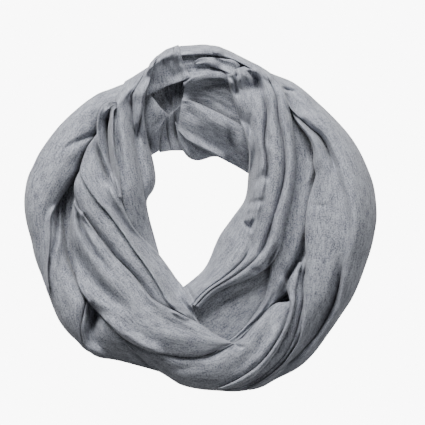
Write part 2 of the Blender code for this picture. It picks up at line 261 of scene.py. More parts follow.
# A rail is an edge or a crease that runs the length of a stretch. Its crown is how far the cloth arches above
# the line to the next rail, and its lean is where the arch is highest, from 0 to 1. The last has neither.
Rail = namedtuple("Rail", "path height crown lean", defaults=(None, 0.5))
Fold = namedtuple("Fold", "path depth width")       # a soft trough, or a ridge where its depth is above 0
Zone = namedtuple("Zone", "path width")             # a place on the cloth, for how it is tucked or eased
WALL = 1.2                # thickness of the jersey as it shows
AIR = 0.25                # between two stretches that touch
STEP = 1.5                # size of a mesh cell
LEAST_CELLS = 6           # across from one rail to the next
EVENNESS = 0.45           # how evenly the cells lie across: the rest of the way they crowd towards the rails
EASE = 20                 # passes that round the corners of a path, at one point to the millimetre
FOLD_STEPS = 40           # steps of a fold's path
SOFTENING = 36            # passes that soften a zone
RIM = 8                   # how far from the rim of the cloth its ripples and folds fade in
RIPPLE_SIZE = (5.5, 60)   # of the finest bumps, across and along the cloth
SWELL_SIZE = (19, 48)     # of the broad ones
STEEPEST = 0.4            # upright share of a normal, below which the wall is measured no deeper
REACH = 220               # half the side of the square that the scarf is laid in, in cells of a millimetre
ROOF = 70.0               # above all the cloth
heap = np.full((2 * REACH + 1, 2 * REACH + 1), -AIR)    # the top of the cloth laid so far, in each cell
room = np.full((2 * REACH + 1, 2 * REACH + 1), ROOF)    # the lowest underside of the cloth, in each cell


def smooth_run(points, share):
    """A smooth curve through rows of numbers, read at shares of the way from the first row to the last."""
    points = np.array(points, float)
    ends = np.vstack((2 * points[0] - points[1], points, 2 * points[-1] - points[-2]))
    spot = np.clip(share, 0, 1) * (len(points) - 1)
    k = np.minimum(spot.astype(int), len(points) - 2)
    t = (spot - k)[:, None]
    a, b, c, d = ends[k], ends[k + 1], ends[k + 2], ends[k + 3]
    bend, twirl = 2 * a - 5 * b + 4 * c - d, 3 * b - a - 3 * c + d
    return 0.5 * (2 * b + (c - a) * t + bend * t ** 2 + twirl * t ** 3)


def even_points(run, count):
    """Points at count equal shares of the way along a run of points."""
    far = np.concatenate(([0], np.cumsum(np.hypot(*np.diff(run, axis=0).T))))
    even = np.linspace(0, far[-1], count)
    return np.stack([np.interp(even, far, run[:, k]) for k in range(2)], axis=1)


def smooth_path(path, count):
    """A smooth curve through the path's points, its corners eased, at count equal shares of its length."""
    run = smooth_run(path, np.linspace(0, 1, 16 * len(path)))
    run = even_points(run, int(np.hypot(*np.diff(run, axis=0).T).sum()) + 4)
    for _ in range(EASE):
        run[1:-1] = (run[:-2] + 2 * run[1:-1] + run[2:]) / 4
    return even_points(run, count)


def smooth_values(values, count):
    """A short row of values, eased over count steps."""
    return smooth_run(np.array(values, float)[:, None], np.linspace(0, 1, count))[:, 0]


def path_length(path):
    """The length of the smooth curve through a path."""
    return np.hypot(*np.diff(smooth_path(path, 60), axis=0).T).sum()


def arched_cloth(rails, fullness):
    """A stretch of cloth as rows of stations and columns from rail to rail, arched between them."""
    rows = int(max(path_length(rail.path) for rail in rails) / STEP) + 2
    paths = [smooth_path(rail.path, rows) for rail in rails]
    heights = [smooth_values(rail.height, rows) for rail in rails]
    columns = []
    for k, rail in enumerate(rails[:-1]):
        crown = smooth_values(rail.crown, rows)
        width = np.hypot(*(paths[k + 1] - paths[k]).T).mean() + 0.9 * abs(crown).mean()
        sides = max(LEAST_CELLS, int(width / STEP))
        for side in range(sides):
            even = side / sides
            t = EVENNESS * even + (1 - EVENNESS) * (1 - np.cos(np.pi * even)) / 2
            lean = t ** (np.log(0.5) / np.log(rail.lean))
            arch = (1 - abs(2 * lean - 1) ** fullness) ** (1 / fullness)
            flat = paths[k] + (paths[k + 1] - paths[k]) * t
            high = heights[k] + (heights[k + 1] - heights[k]) * t + crown * arch
            columns.append(np.column_stack((flat, high)))
    columns.append(np.column_stack((paths[-1], heights[-1])))
    return np.stack(columns, axis=1)


def cloth_map(grid):
    """How far each point is across and along the cloth, measured over its surface."""
    across = np.linalg.norm(np.diff(grid, axis=1), axis=2).mean(0)
    along = np.linalg.norm(np.diff(grid, axis=0), axis=2).mean(1)
    return np.concatenate(([0], np.cumsum(across))), np.concatenate(([0], np.cumsum(along)))


def wander(across, along, size, seed):
    """A smooth random field between -1 and 1, with bumps of the given size across and along the cloth."""
    u, v = across / size[0], along / size[1]
    knots = np.random.default_rng(seed).uniform(-1, 1, (int(v[-1]) + 3, int(u[-1]) + 3))
    i, j = v.astype(int), u.astype(int)
    s, t = (v - i)[:, None], (u - j)[None, :]
    s, t = s * s * (3 - 2 * s), t * t * (3 - 2 * t)
    a, b = knots[np.ix_(i, j)], knots[np.ix_(i, j + 1)]
    c, d = knots[np.ix_(i + 1, j)], knots[np.ix_(i + 1, j + 1)]
    return (a * (1 - t) + b * t) * (1 - s) + (c * (1 - t) + d * t) * s


def nearness(grid, place):
    """How near each point is to a path, from 1 on it to 0 away from it, and the nearest step of the path."""
    steps = smooth_path(place.path, FOLD_STEPS)
    gap = np.linalg.norm(grid[:, :, None, :2] - steps, axis=3)
    nearest = gap.argmin(2)
    close = np.take_along_axis(gap, nearest[..., None], 2)[..., 0]
    return np.exp(-(close / place.width) ** 2), nearest


def press(grid, folds):
    """Push soft troughs into the cloth, or ridges out of it. They fade at their own ends and the cloth's."""
    along = cloth_map(grid)[1]
    inside = np.clip(np.minimum(along, along[-1] - along) / RIM, 0, 1)[:, None]
    fade = np.sin(np.pi * np.linspace(0.06, 0.94, FOLD_STEPS)) ** 0.6
    for fold in folds:
        near, step = nearness(grid, fold)
        depths = fold.depth if isinstance(fold.depth, tuple) else (fold.depth, fold.depth)
        depth = smooth_values(depths, FOLD_STEPS) * fade
        grid[..., 2] += depth[step] * near * inside


def spread_out(field, steps, pick):
    """Each point takes the pick, such as the highest, of itself and its neighbours, so many steps wide."""
    for _ in range(steps):
        padded = np.pad(field, 1, mode="edge")
        field = pick([padded[1:-1, 1:-1], padded[:-2, 1:-1], padded[2:, 1:-1],
                      padded[1:-1, :-2], padded[1:-1, 2:]])
    return field


def highest(layers):
    return np.max(layers, axis=0)


def average(layers):
    return np.mean(layers, axis=0)


def soften(grid, zones):
    """Round the cloth along a crease that dies out."""
    for zone in zones:
        near = nearness(grid, zone)[0]
        for _ in range(SOFTENING):
            grid[..., 2] += near * (spread_out(grid[..., 2], 1, average) - grid[..., 2])


def wall_depth(grid):
    """How deep the cloth is straight down, so that its steep sides keep their thickness."""
    normal = np.cross(np.gradient(grid, axis=0), np.gradient(grid, axis=1))
    upright = abs(normal[..., 2]) / np.maximum(np.linalg.norm(normal, axis=-1), 1e-9)
    depth = WALL / np.maximum(upright, STEEPEST)
    depth[:, (0, -1)] = WALL
    depth[(0, -1), :] = WALL
    return depth


def cells(grid):
    """The cells of the heap that the points of a grid lie in."""
    return tuple(np.clip(np.round(grid[..., k]).astype(int) + REACH, 0, 2 * REACH) for k in range(2))


def settle(grid, tucks):
    """Lift the cloth softly until it clears what it lies on, except where it is tucked in, and heap it."""
    depth = wall_depth(grid)
    free = np.ones(grid.shape[:2])
    for zone in tucks:
        free = np.minimum(free, 1 - nearness(grid, zone)[0])
    beneath = spread_out(heap, 1, highest)[cells(grid)]
    shape = grid[..., 2].copy()
    lift = np.maximum(0, beneath + AIR + depth - shape)
    lift = spread_out(spread_out(lift, 3, highest), 4, average)
    clear = np.maximum(shape + lift, beneath + AIR + depth)
    # Under about a fifth free, the cloth is held down. Over about four fifths, it is lifted clear.
    grid[..., 2] = np.maximum(shape + (clear - shape) * np.clip(1.6 * free - 0.3, 0, 1), depth)
    fine = grid
    for axis in (0, 1):
        last = fine.shape[axis] - 1
        middle = (np.take(fine, range(1, last + 1), axis) + np.take(fine, range(last), axis)) / 2
        fine = np.concatenate((fine, middle), axis)
    np.maximum.at(heap, cells(fine), fine[..., 2])
    lower = grid.copy()
    lower[..., 2] -= depth
    np.minimum.at(room, cells(lower), lower[..., 2])
    return depth


def shell(name, grid, depth):
    """Make the closed piece: the side that shows, the side beneath, and a rim all round."""
    rows, columns = grid.shape[:2]
    under = grid.copy()
    under[..., 2] -= depth
    number = np.arange(rows * columns).reshape(rows, columns)
    faces = np.stack((number[:-1, :-1], number[1:, :-1], number[1:, 1:], number[:-1, 1:]), -1).reshape(-1, 4)
    rim = np.concatenate((number[:-1, 0], number[-1, :-1], number[:0:-1, -1], number[0, :0:-1]))
    after = np.roll(rim, -1)
    below = rows * columns
    sides = np.stack((after, rim, rim + below, after + below), -1)
    normal = np.cross(grid[1:, :-1] - grid[:-1, :-1], grid[:-1, 1:] - grid[:-1, :-1])
    if normal[..., 2].mean() < 0:
        faces, sides = faces[:, ::-1], sides[:, ::-1]
    quads = np.vstack((faces, faces[:, ::-1] + below, sides))
    mesh = bpy.data.meshes.new(name)
    points = np.vstack((grid.reshape(-1, 3), under.reshape(-1, 3))) / 1000
    mesh.from_pydata(points.tolist(), [], quads.tolist())
    across, along = cloth_map(grid)
    place = np.stack(np.broadcast_arrays(across[None, :], along[:, None]), -1).reshape(-1, 2) / 1000
    place = np.vstack((place, place))
    layer = mesh.uv_layers.new(name="cloth")
    layer.data.foreach_set("uv", place[quads.ravel()].ravel())
    mesh.shade_smooth()
    mesh.materials.append(jersey)
    piece = bpy.data.objects.new(name + "_cloth", mesh)
    bpy.context.scene.collection.objects.link(piece)
    return piece


def stretch(name, node, rails, folds=(), ease=(), tucks=(), fullness=2.2, ripple=0.12, swell=0.9, seed=1,
            sewn=()):
    """Make one stretch of the scarf, lay it on the heap, and let it stand for its node."""
    grid = arched_cloth(rails, fullness)
    across, along = cloth_map(grid)
    rim = np.minimum(1, np.minimum(across, across[-1] - across) / RIM)[None, :]
    grid[..., 2] += rim * ripple * wander(across, along, RIPPLE_SIZE, seed)
    grid[..., 2] += rim * swell * wander(across, along, SWELL_SIZE, seed + 50)
    soften(grid, ease)
    press(grid, folds)
    depth = settle(grid, tucks)
    piece = shell(name, grid, depth)
    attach(piece, "root")
    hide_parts(node)
    length = cloth_map(grid)[1][-1]
    side, end = np.diff(grid, axis=1)[:-1], np.diff(grid, axis=0)[:, :-1]
    width = np.linalg.norm(np.cross(side, end), axis=2).sum() / length
    thread_rows = [sew(name + "_stitches", grid, sewn)] if sewn else []


stretch("throat_hollow", "throat_left", (
    Rail(((-61, 143), (-56, 128), (-47, 112), (-38, 97)), (10, 8, 5, 3), (2, 3, 3)),
    Rail(((-37, 150), (-35, 136), (-31, 121), (-28, 103)), (8, 6, 4, 3), (3, 4, 3)),
    Rail(((-7, 156), (-10, 141), (-14, 125), (-18, 106)), (14, 12, 9, 6)),
), folds=(
    Fold(((-37, 145), (-35, 132), (-31, 117)), -3, 2.5),
), seed=3)
stretch("throat_pleats", "throat_left", (
    Rail(((-51, 105), (-49, 94), (-47, 82), (-45, 72)), (20, 13, 7, 2), (4, 5, 4)),
    Rail(((-37, 109), (-37, 98), (-35, 86), (-32, 74)), (22, 13, 6, 2), (3, 5, 4)),
    Rail(((-28, 118), (-27, 102), (-25, 87), (-20, 74)), (25, 14, 6, 2), (3, 4, 4)),
    Rail(((-15, 130), (-16, 108), (-15, 87), (-12, 70)), (26, 17, 10, 3)),
), folds=(
    Fold(((-28, 108), (-26, 92), (-21, 76)), (-3, -6, -5), 2.2),
), seed=4)
stretch("throat_lap", "throat_left", (
    Rail(((-56, 136), (-49, 128), (-42, 119), (-34, 111), (-39, 104), (-43, 96), (-45, 85), (-45, 74)),
         (36, 36, 34, 30, 20, 11, 5, 2), (3, 4, 5, 6, 7, 6, 4, 2)),
    Rail(((-64, 141), (-65, 132), (-67, 121), (-69, 110), (-70, 99), (-69, 88), (-64, 77), (-57, 67)),
         (34, 32, 29, 24, 18, 11, 5, 2)),
), folds=(
    Fold(((-52, 121), (-53, 103), (-53, 84)), 2, 6),
    Fold(((-60, 90), (-57, 80), (-53, 70)), -4, 3),
), seed=6, ripple=0.05)


# The throat's flap: a short end of the cloth, in shade, that peeps out under the light stretch at the upper
# right.
stretch("throat_flap", "throat_flap", (
    Rail(((-28, 106), (-18, 95), (-7, 85), (6, 76), (24, 66)), (18, 18, 16, 14), (3, 5, 3)),
    Rail(((-24, 85), (-20, 75), (-13, 66), (-2, 63), (14, 68)), (2, 2, 2)),
), folds=(
    Fold(((-18, 86), (-13, 76), (-5, 66)), -3, 3),
), seed=5)


# The pleated panel: dark cloth that drops from under the rolled fold at the top, drawn into fine lines.
stretch("top_panel", "top_panel", (
    Rail(((-17, 145), (-3, 150), (10, 152), (26, 152), (41, 146)), (42, 44, 44, 42), (-1, -2, -1)),
    Rail(((-20, 127), (-9, 123), (5, 117), (24, 108), (50, 94)), (22, 24, 26, 28)),
), folds=(
    Fold(((-15, 139), (4, 140), (24, 133), (39, 122)), -1.6, 2.0),
    Fold(((-14, 143), (4, 146), (21, 143), (35, 135)), -1.3, 1.8),
    Fold(((-14, 133), (4, 133), (21, 125), (39, 114)), -1.6, 2.2),
), ripple=0.7, seed=7)


# The throat's right side: a light, smooth stretch that slopes down to the opening from the upper right. The
# edge along its top is a hem with two rows of stitches.
stretch("throat_right", "throat_right", (
    Rail(((-20, 130), (-9, 128), (5, 122), (24, 113), (45, 101), (59, 90)),
         (30, 33, 35, 37, 38), (5, 9, 12, 12, 9), 0.42),
    Rail(((-25, 96), (-16, 86), (3, 75), (15, 69), (37, 58), (54, 48)), (20, 14, 6, 2, 2, 2)),
), folds=(
    Fold(((30, 99), (34, 84), (40, 70), (50, 54)), (-3, -9, -8, -5), 3.2),
    Fold(((42, 88), (46, 75), (50, 62)), 4, 3.5),
    Fold(((-16, 121), (-9, 113), (-1, 107)), -5, 6),
    Fold(((-5, 114), (13, 107), (28, 99)), 3, 8),
    Fold(((-16, 92), (4, 81), (26, 68)), -1.5, 5),
), seed=9, swell=1.2, sewn=(
    Stitches(((-15, 123), (-5, 119), (7, 114), (23, 106), (39, 97)), 3.2, 2.3, 0),
    Stitches(((-16, 120), (-6, 116), (6, 111), (21, 102), (38, 94)), 3.2, 2.3, 0),
))


# The dark panel: the stretch at the bottom of the triangle where the bands cross, deep in their shade.
stretch("dark_panel", "dark_panel", (
    Rail(((83, -48), (61, -57), (41, -64), (15, -75), (-18, -97)), (24, 24, 24, 24), (3, 4, 4, 3)),
    Rail(((92, -77), (74, -99), (61, -114), (43, -133), (13, -152)), (22, 20, 18)),
), folds=(
    Fold(((60, -74), (43, -79), (27, -90), (10, -103)), -3, 5),
    Fold(((52, -90), (39, -101), (26, -112)), 2, 6),
), seed=11, swell=1.3)


# The middle band of the right side: shaded cloth between the strands by the opening and the outer fold.
stretch("mid_right", "mid_right", (
    Rail(((87, 141), (92, 117), (94, 86), (95, 58), (92, 25), (85, -8), (79, -35), (74, -70), (70, -86),
          (62, -101), (52, -114), (40, -127), (28, -136)),
         (34, 38, 40, 38, 36, 33, 29, 26, 24), (5, 8, 9, 9, 9, 8, 6, 5)),
    Rail(((107, 125), (118, 103), (131, 80), (135, 58), (131, 36), (126, 9), (123, -22), (120, -48),
          (108, -74), (89, -90), (74, -103), (57, -121), (36, -140)),
         (20, 8, 12, 22, 26, 22, 12, 6, 8, 12)),
), folds=(
    Fold(((106, 73), (108, 42), (103, 3), (98, -30), (87, -57)), -2, 4),
    Fold(((81, -81), (72, -98), (62, -110), (50, -121), (39, -131)), -4, 2),
    Fold(((119, 64), (122, 53), (118, 40)), 4, 3),
    Fold(((116, -15), (114, -31), (108, -45), (101, -58), (94, -70), (87, -84)), (-6, -16, -18, -14), 4.5),
), seed=13)


# The lower left stretch: it comes out from under the outer left one in two narrow pleats, and opens out
# below.
stretch("lower_left", "lower_left", (
    Rail(((-166, 14), (-167, -2), (-167, -24), (-168, -48), (-171, -72), (-166, -88), (-162, -99),
          (-155, -114), (-145, -127), (-136, -135), (-128, -144), (-119, -149), (-109, -153)),
         (22, 20, 16, 10, 2, 2, 2, 2, 2), (8, 14, 20, 24, 26, 26, 22, 14, 6)),
    Rail(((-153, 26), (-152, 14), (-151, 1), (-149, -13), (-147, -29), (-145, -44), (-139, -59),
          (-131, -77), (-125, -90), (-127, -103), (-128, -118), (-129, -130), (-126, -140), (-116, -147),
          (-106, -152)),
         (2, 2, 2, 4, 12, 24, 26, 20, 12, 5)),
), folds=(
    Fold(((-158, 22), (-157, 7), (-157, -11), (-158, -25), (-162, -38)), -12, 2.0),
    Fold(((-150, -41), (-152, -63), (-148, -90), (-139, -114)), -2, 6),
    Fold(((-155, -22), (-157, -42), (-158, -64)), 2.5, 3),
    Fold(((-141, -48), (-139, -68), (-134, -90)), -3, 5),
), seed=15)


# The outer left stretch: the widest one on this side, smooth and round, with one slanting crease.
stretch("outer_left", "outer_left", (
    Rail(((-56, 158), (-71, 152), (-84, 148), (-102, 141), (-111, 138), (-122, 131), (-130, 125),
          (-137, 119), (-144, 113), (-155, 102), (-164, 91), (-172, 80), (-179, 69), (-184, 58),
          (-189, 48), (-192, 37), (-194, 20), (-193, 4), (-190, -11), (-186, -25), (-183, -40),
          (-178, -55), (-172, -69), (-164, -88)),
         (2, 2), (8, 18, 29, 33, 31, 26, 20, 12), 0.44),
    Rail(((-47, 143), (-69, 132), (-89, 125), (-103, 111), (-111, 95), (-120, 77), (-128, 62), (-136, 46),
          (-144, 34), (-151, 24), (-158, 12), (-163, -1), (-163, -19), (-164, -35), (-166, -51),
          (-166, -68), (-164, -88)),
         (30, 20, 12, 13, 17, 17, 15, 12, 8)),
), folds=(
    Fold(((-112, 93), (-125, 88), (-134, 84), (-144, 78), (-155, 72)), (-8, -7, -4, -2), 2.4),
    Fold(((-117, 82), (-130, 75), (-144, 66)), (3, 2), 6),
    Fold(((-126, 108), (-148, 92), (-168, 68), (-179, 37)), -1.2, 6),
    Fold(((-139, 64), (-152, 42), (-163, 14), (-170, -13)), -2, 6),
    Fold(((-177, 14), (-174, -19), (-170, -48)), 1.2, 5),
    Fold(((-97, 130), (-119, 121), (-139, 106)), 1.5, 7),
), swell=1.0, seed=17)


# The stretch that lines the opening on the left: one full strand, and behind it a softer one that bulges
# into the opening. It comes over the top edge of the scarf as a round lobe.
stretch("inner_left", "inner_left", (
    Rail(((-83, 150), (-87, 142), (-91, 134), (-93, 125), (-96, 112), (-97, 97), (-96, 75), (-93, 47),
          (-90, 20), (-81, -7), (-67, -31), (-53, -44)),
         (2, 36, 39, 38, 36, 36, 36, 32, 20, 10), (3, 13, 18, 19, 19, 19, 15, 7, 3)),
    Rail(((-58, 166), (-64, 154), (-70, 143), (-76, 133), (-75, 117), (-73, 97), (-70, 79), (-68, 62),
          (-64, 44), (-61, 26), (-59, 15), (-57, 2), (-53, -18), (-47, -38)),
         (2, 26, 26, 27, 29, 30, 28, 20, 8, 3, 2), (2, 3, 4, 7, 10, 12, 10, 4, 1, 1), 0.6),
    Rail(((-50, 167), (-56, 152), (-60, 132), (-61, 108), (-57, 82), (-53, 68), (-50, 53), (-49, 41),
          (-52, 30), (-59, 20), (-57, 4), (-52, -15), (-45, -40)),
         (2, 28, 24, 14, 3, 2, 2, 2, 2, 2)),
), folds=(
    Fold(((-67, 110), (-69, 97), (-70, 84), (-68, 68)), (-8, -10, -8, -4), 3),
    Fold(((-68, 73), (-64, 58), (-60, 40), (-59, 24)), (-3, -6, -4), 3),
    Fold(((-84, 117), (-82, 89), (-79, 62), (-75, 36)), 1.2, 4),
    Fold(((-90, 110), (-89, 86), (-86, 62), (-83, 35)), (-4, -8, -6), 2.4),
    Fold(((-56, 53), (-57, 40), (-60, 26)), 2, 4),
), swell=0.7, seed=19)


# The fold at the lower left corner: a small hood with a deep pocket, where the band turns under.
stretch("corner_fold", "corner_fold", (
    Rail(((-124, -92), (-127, -105), (-130, -119), (-129, -131), (-126, -141), (-120, -148), (-111, -153),
          (-90, -157), (-71, -162), (-56, -166), (-46, -169)),
         (14, 6, 2, 2, 2, 2, 2), (2, 8, 15, 16, 13, 9), 0.6),
    Rail(((-114, -86), (-104, -92), (-93, -101), (-82, -111), (-70, -122), (-56, -135), (-38, -154)),
         (28, 34, 38, 38, 34, 26, 12)),
), folds=(
    Fold(((-112, -92), (-113, -101), (-116, -111), (-119, -123)), (-30, -30, -16), 4.0),
    Fold(((-125, -119), (-122, -131), (-114, -140), (-103, -144)), 2, 4),
    Fold(((-106, -114), (-109, -129), (-106, -140)), 2, 4),
    Fold(((-80, -140), (-70, -148), (-59, -158), (-49, -165)), (-2, -5, -4), 2.2),
), fullness=1.5, seed=21)


# The roll along the bottom: a broad panel that turns under at the table. At its right end it is gathered
# into narrow pleats that run down beside it and under the outer stretch.
stretch("roll_pleats", "bottom_roll", (
    Rail(((117, -35), (112, -46), (105, -57), (101, -69), (101, -79), (100, -91), (97, -106), (93, -120),
          (86, -134), (79, -146), (68, -161), (57, -172), (45, -179), (31, -185), (17, -188), (4, -188)),
         (18, 24, 26, 26, 24, 20, 14, 8, 4), (3, 7, 9, 8, 7, 5, 2)),
    Rail(((120, -35), (117, -48), (113, -63), (112, -76), (113, -89), (110, -103), (106, -119),
          (101, -133), (94, -147), (84, -159), (71, -171), (56, -181), (39, -187), (18, -189), (4, -189)),
         (18, 22, 22, 22, 20, 16, 10, 5, 2), (5, 9, 9, 8, 6, 4, 1)),
    Rail(((127, -37), (125, -53), (125, -79), (122, -108), (116, -128), (107, -143), (97, -156),
          (86, -168), (73, -179), (57, -188), (39, -191), (18, -190), (4, -189)),
         (16, 16, 14, 9, 4, 2, 2, 2, 2)),
), tucks=(Zone(((114, -33), (123, -33)), 5),), seed=22, swell=0.5)
stretch("bottom_roll", "bottom_roll", (
    Rail(((101, -90), (92, -92), (84, -92), (75, -98), (67, -107), (59, -116), (52, -124), (46, -131),
          (38, -135), (30, -139), (20, -145), (8, -150), (-5, -150), (-20, -150), (-40, -145), (-53, -142),
          (-68, -135), (-79, -128), (-91, -117), (-101, -106)),
         (26, 28, 30, 28, 24, 18, 16, 16, 16, 18), (8, 15, 19, 22, 26, 26, 24, 18, 5), 0.36),
    Rail(((105, -90), (102, -103), (97, -116), (92, -129), (85, -141), (75, -155), (64, -167), (51, -177),
          (37, -184), (21, -189), (7, -189), (-9, -187), (-23, -183), (-34, -176), (-45, -169),
          (-56, -162), (-65, -152), (-74, -144), (-82, -135), (-91, -125), (-101, -113)),
         (26, 26, 26, 24, 19, 12, 4, 2, 2, 3, 10, 16)),
), folds=(
    Fold(((47, -140), (41, -140), (35, -135)), -5, 1.8),
    Fold(((94, -99), (87, -117), (78, -135), (65, -151), (52, -163), (37, -174)), 5, 6),
    Fold(((81, -103), (74, -123), (61, -145), (43, -163)), -2, 6),
    Fold(((-1, -161), (-23, -165), (-45, -160), (-64, -147)), -2, 4),
), swell=1.1, seed=23)
stretch("roll_crest", "bottom_roll", (
    Rail(((108, -48), (101, -59), (96, -68), (94, -77), (97, -87), (98, -98), (95, -109), (91, -120),
          (84, -133), (74, -148), (62, -161), (50, -170), (37, -178), (21, -185), (8, -187)),
         (24, 29, 30, 25, 19, 13, 7, 3, 2), (4, 5, 4, 3, 2, 1)),
    Rail(((112, -48), (108, -59), (106, -70), (104, -81), (103, -92), (100, -106), (96, -119), (90, -132),
          (83, -145), (72, -160), (60, -172), (46, -180), (32, -185), (18, -188), (6, -188)),
         (22, 27, 28, 25, 20, 14, 8, 4, 2)),
), tucks=(Zone(((107, -46), (113, -46)), 6), Zone(((8, -186), (13, -188)), 6)), seed=24, swell=0.4)


# The outer right stretch: the widest on this side. A long crease divides it, deep at both ends and lost in
# the middle. Its inner edge, with a hem of two rows of stitches, stands over the band beside it.
stretch("outer_right", "outer_right", (
    Rail(((63, 167), (76, 160), (89, 155), (101, 150), (115, 140), (126, 130), (138, 119), (151, 106),
          (164, 91), (175, 74), (183, 57), (190, 38), (193, 20), (194, 1), (192, -14), (188, -33),
          (181, -54), (174, -73), (166, -90), (158, -102), (148, -117), (138, -131), (128, -145),
          (116, -158), (104, -167), (92, -173), (80, -179), (68, -186), (54, -189)),
         (2, 2), (14, 26, 30, 30, 29, 27, 25, 17, 9, 4, 2)),
    Rail(((79, 150), (91, 132), (98, 118), (110, 107), (120, 98), (130, 90), (137, 80), (141, 70),
          (146, 58), (150, 44), (155, 30), (158, 14), (161, -2), (161, -20), (159, -34), (155, -46),
          (153, -59), (151, -74), (146, -94), (138, -111), (127, -129), (114, -143), (103, -154),
          (91, -164), (79, -173), (65, -182), (52, -187)),
         (30, 32, 32, 38, 50, 56, 54, 40, 22, 12, 6, 3, 2),
         (3, 10, 15, 14, 10, 8, 10, 16, 18, 12, 7, 4, 2)),
    Rail(((84, 145), (93, 130), (99, 117), (103, 107), (111, 96), (119, 85), (123, 72), (123, 57),
          (126, 48), (123, 37), (118, 21), (115, 3), (114, -24), (115, -43), (114, -68), (112, -100),
          (109, -128), (104, -140), (96, -152), (90, -160), (82, -167), (72, -175), (61, -182),
          (50, -186)),
         (34, 38, 40, 40, 38, 36, 34, 30, 22, 12, 5, 3)),
), folds=(
    Fold(((87, 142), (96, 140), (105, 138)), -9, 2),
    Fold(((92, 135), (102, 124), (113, 111)), -10, 8),
    Fold(((109, 108), (120, 98), (131, 88), (140, 73), (147, 55)), (-2, -4, -9, -13, -9), 2.6),
    Fold(((129, 75), (136, 51), (140, 24), (142, 3)), 1.5, 7),
    Fold(((123, 15), (131, 13), (140, 15)), -1.5, 2.5),
    Fold(((171, 53), (178, 20), (178, -19), (169, -57)), -1.4, 6),
    Fold(((134, -15), (136, -48), (131, -81), (123, -110)), -1.6, 7),
    Fold(((151, -37), (150, -63), (144, -90), (131, -114), (115, -138)), (-2, -8, -15, -15), 5.5),
    Fold(((120, 88), (127, 75), (129, 59)), 3, 4),
), ease=(
    Zone(((150, 44), (155, 30), (158, 14), (160, -2), (161, -20), (158, -35), (155, -48)), 11),
), swell=1.0, seed=25, sewn=(
    Stitches(((117, -103), (116, -119), (112, -133), (105, -146), (97, -157), (90, -166)), 3.2, 2.3, 0),
    Stitches(((120, -105), (119, -120), (115, -135), (108, -148), (101, -160), (93, -168)), 3.2, 2.3, 0),
))


# The top of the scarf, behind: flat shaded cloth, a narrow roll along the edge at the left, and a plain
# strand beside it that runs on down to the right.
stretch("top_outer", "top_outer", (
    Rail(((-27, 180), (-7, 183), (13, 183), (32, 177), (54, 166)), (36, 37, 37, 36), (1, 1, 1)),
    Rail(((-21, 169), (-5, 170), (13, 172), (32, 168), (54, 158)), (38, 39, 39, 38), (3, 4, 3), 0.4),
    Rail(((-18, 143), (-5, 143), (13, 145), (32, 147), (57, 143)), (22, 22, 24, 30)),
), seed=27)
stretch("top_edge_roll", "top_outer", (
    Rail(((-36, 184), (-25, 189), (-12, 190), (7, 191), (20, 187)), (2, 2, 2), (14, 15, 14)),
    Rail(((-25, 175), (-16, 177), (-6, 177), (5, 178), (18, 177)), (41, 43, 43)),
), seed=28, swell=0.5)
stretch("top_edge_strand", "top_outer", (
    Rail(((12, 189), (20, 188), (30, 185), (42, 179), (54, 173), (65, 167), (78, 158)),
         (2, 2, 2), (7, 14, 16)),
    Rail(((14, 178), (23, 175), (32, 172), (42, 169), (50, 165), (58, 160), (70, 151)),
         (42, 43, 42, 38)),
), folds=(
    Fold(((15, 186), (18, 183), (21, 180)), -4, 2.5),
), seed=30, swell=0.6)


# The seamed back: the cloth at the top with the seam that joins the scarf into a loop down its right side.
stretch("top_back", "top_back", (
    Rail(((-51, 176), (-54, 163), (-57, 147), (-59, 133)), (2, 44, 42, 40, 38, 36), (1, 1, 1)),
    Rail(((-39, 185), (-40, 169), (-39, 156), (-36, 144)), (2, 42, 38, 34, 30, 27), (2, 2, 2)),
    Rail(((-24, 190), (-21, 177), (-16, 164), (-10, 152)), (2, 40, 42, 41, 38, 33)),
), folds=(
    Fold(((-45, 179), (-39, 167), (-31, 155), (-23, 148)), -4, 4),
    Fold(((-28, 188), (-26, 175), (-20, 163), (-15, 152)), 5.5, 2.2),
    Fold(((-23, 183), (-17, 168), (-10, 155)), -5, 1.7),
), seed=29, swell=0.5, sewn=(
    Stitches(((-30, 186), (-28, 174), (-23, 162), (-18, 153)), 2.2, 2.6, 62),
))


# The upper left strand: one narrow bright roll that comes over the top and tapers away down the left.
stretch("top_left", "top_left", (
    Rail(((-56, 168), (-62, 155), (-68, 144), (-73, 133), (-73, 119), (-72, 101), (-70, 86)),
         (2, 36, 38, 36, 33, 28, 18), (3, 5, 9, 10, 7, 2)),
    Rail(((-47, 178), (-52, 161), (-56, 144), (-61, 130), (-64, 114), (-68, 99), (-69, 86)),
         (2, 40, 39, 35, 31, 26, 18)),
), tucks=(Zone(((-70, 95), (-69, 84)), 6),), seed=31, swell=0.3)


# The rolled fold at the top: a fat roll over a dark hollow, and below it the rolled edge that the dark panel
# hangs from.
stretch("top_fold_edge", "top_fold", (
    Rail(((-15, 149), (-7, 155), (3, 158), (14, 160), (24, 159), (35, 153)),
         (40, 42, 42, 42), (4, 5, 5, 4), 0.45),
    Rail(((-16, 143), (-7, 146), (3, 150), (14, 151), (24, 151), (35, 145)), (42, 45, 45, 45)),
), seed=33, swell=0.4)
stretch("top_fold_roll", "top_fold", (
    Rail(((-7, 169), (-4, 173), (3, 175), (14, 175), (26, 173), (36, 172), (43, 166)),
         (34, 38, 40, 42, 44), (4, 8, 10, 10, 6), 0.45),
    Rail(((-6, 167), (-3, 167), (5, 168), (14, 164), (23, 161), (30, 156), (40, 147)),
         (36, 42, 44, 46, 48)),
), seed=34, swell=0.4)


